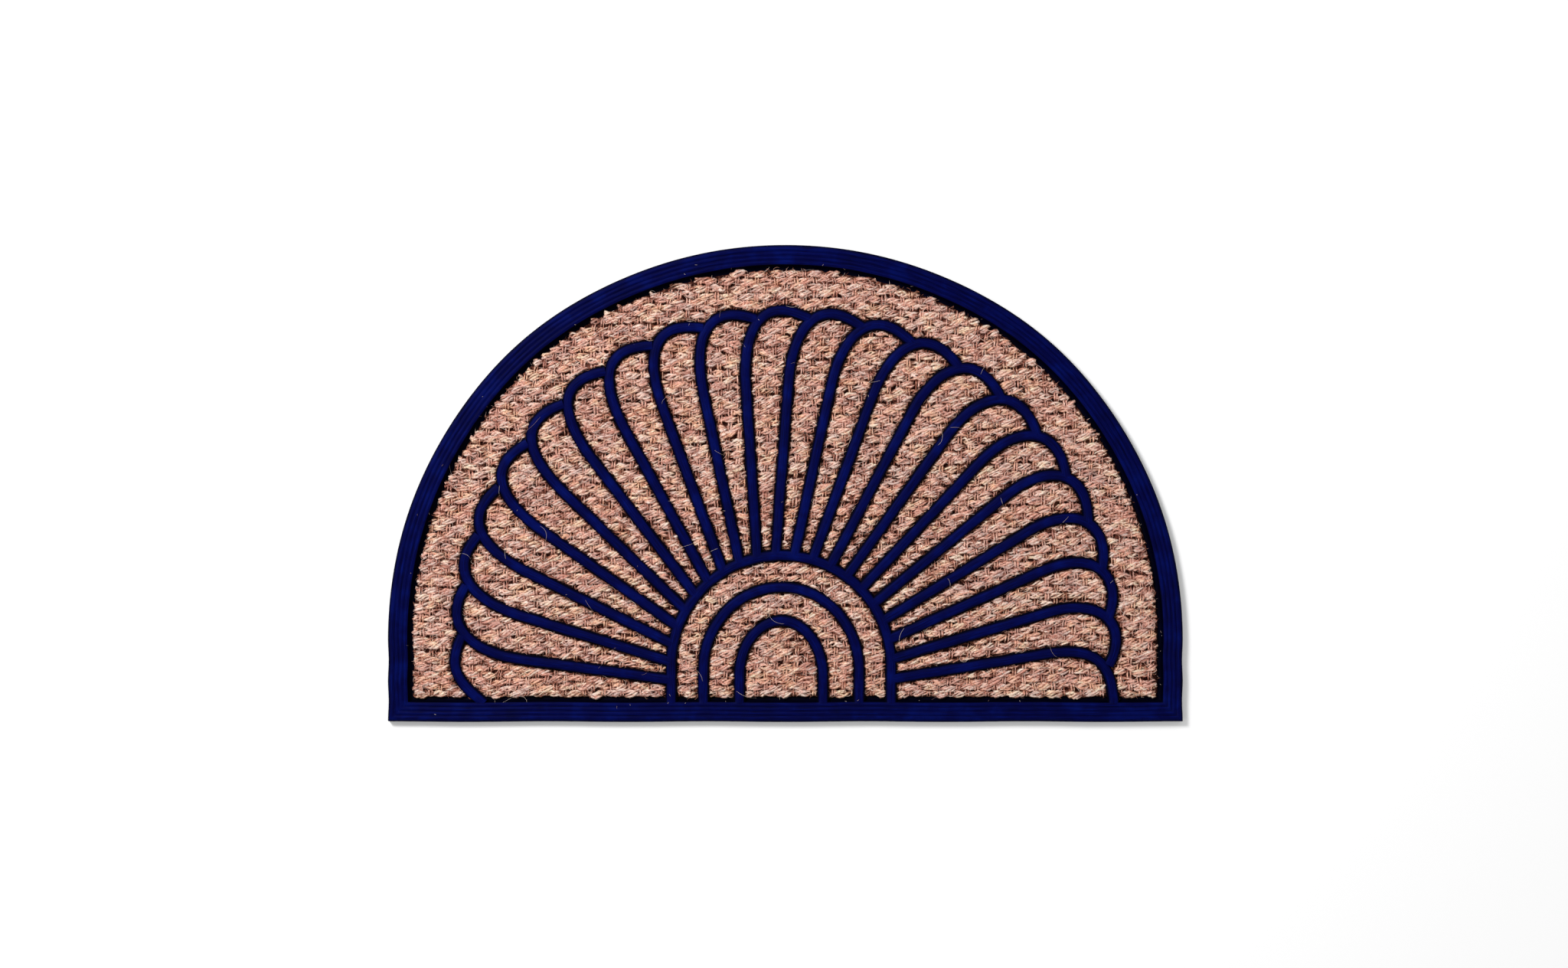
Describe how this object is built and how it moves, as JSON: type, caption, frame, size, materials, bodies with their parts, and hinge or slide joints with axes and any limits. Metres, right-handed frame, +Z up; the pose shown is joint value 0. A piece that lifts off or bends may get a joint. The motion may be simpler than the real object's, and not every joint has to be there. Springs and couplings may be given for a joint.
{
  "type": "half round doormat",
  "caption": "Half round doormat with a sunburst of raised rubber ribs over woven coir and a fluted rubber border.",
  "frame": {"origin": "centre of the bounding box on the floor", "axes": "+X to the right along the straight edge, +Y from the straight edge to the crown of the half round, +Z up"},
  "size_m": [0.762, 0.4572, 0.01],
  "materials": {
    "rubber": "satin",
    "coir": "rough"
  },
  "bodies": {
    "root": {"rubber_moulding": "rubber", "coir_mat": "coir"}
  },
  "joints": []
}
